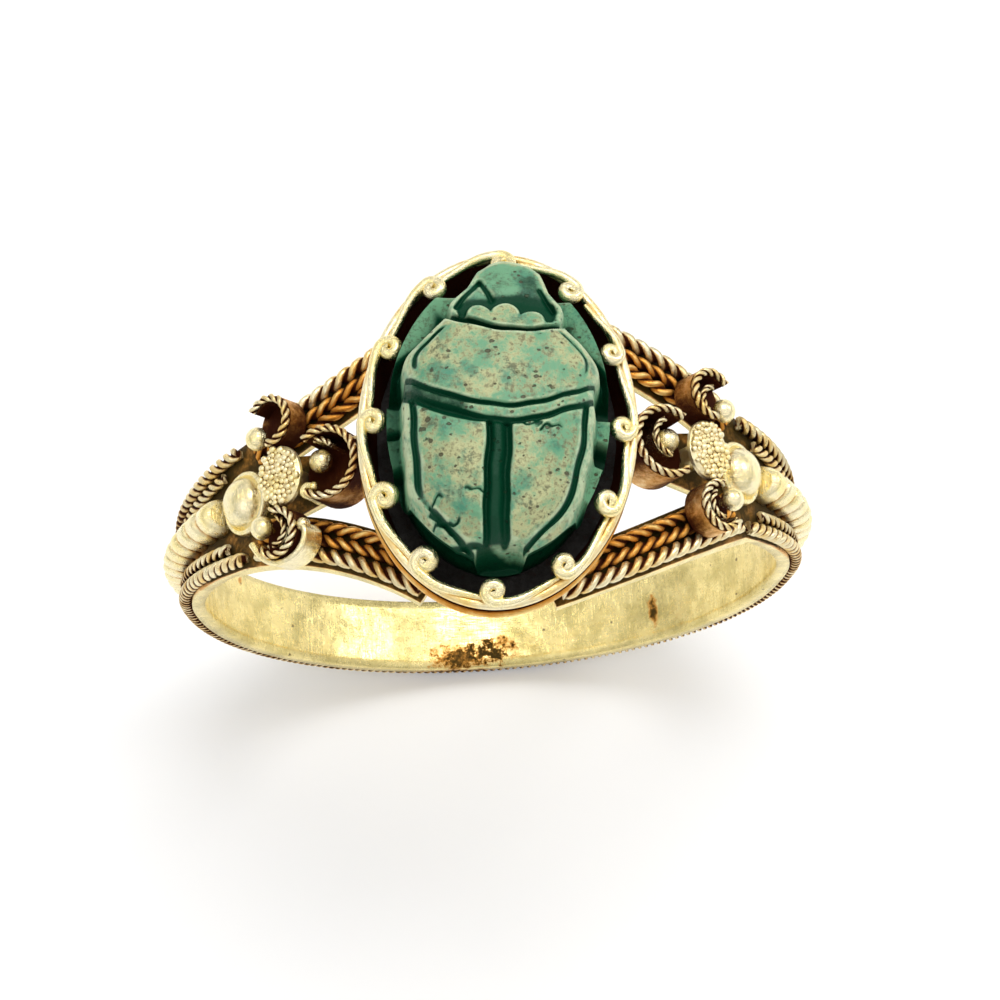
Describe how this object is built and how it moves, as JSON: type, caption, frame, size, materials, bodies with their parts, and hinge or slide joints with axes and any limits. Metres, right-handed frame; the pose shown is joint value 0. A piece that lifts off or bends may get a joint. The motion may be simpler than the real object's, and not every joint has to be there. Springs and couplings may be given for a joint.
{
  "type": "finger ring",
  "caption": "Gold finger ring with split shoulders of twisted wire, small rosettes and a green glazed scarab held by curled claws in a closed oval collet",
  "frame": {"origin": "centre of the finger hole", "axes": "Y along the finger hole, towards the head end of the scarab; Z from the finger hole out through the collet; X across"},
  "size_m": [0.02, 0.0106, 0.0236],
  "materials": {
    "gold_plain": "polished, fine scratches",
    "gold_wire": "satin, dark in the recesses",
    "gold_bright": "polished",
    "glazed_stone": "worn green glaze",
    "mastic": "matt dark resin"
  },
  "bodies": {
    "root": {"balls_left": "gold_bright", "balls_right": "gold_bright", "bed": "mastic", "branch_braid_left_back": "gold_wire", "branch_braid_left_front": "gold_wire", "branch_braid_right_back": "gold_wire", "branch_braid_right_front": "gold_wire", "branch_rope_left_back": "gold_wire", "branch_rope_left_front": "gold_wire", "branch_rope_right_back": "gold_wire", "branch_rope_right_front": "gold_wire", "claws": "gold_bright", "collet_floor": "gold_plain", "collet_wall": "gold_plain", "disc_left": "gold_wire", "disc_right": "gold_wire", "edge_wire_back": "gold_wire", "edge_wire_front": "gold_wire", "foot_wires": "gold_wire", "hoop_band": "gold_plain", "inner_wire_left_back": "gold_wire", "inner_wire_left_front": "gold_wire", "inner_wire_right_back": "gold_wire", "inner_wire_right_front": "gold_wire", "leaf_left": "gold_bright", "leaf_right": "gold_bright", "link_left": "gold_wire", "link_right": "gold_wire", "petal_back_left": "gold_wire", "petal_back_right": "gold_wire", "petal_front_left": "gold_wire", "petal_front_right": "gold_wire", "petal_inner_left": "gold_wire", "petal_inner_right": "gold_wire", "petal_rims_left": "gold_wire", "petal_rims_right": "gold_wire", "ribs_left": "gold_bright", "ribs_right": "gold_bright", "rim_wire": "gold_bright", "scarab": "glazed_stone"}
  },
  "joints": []
}
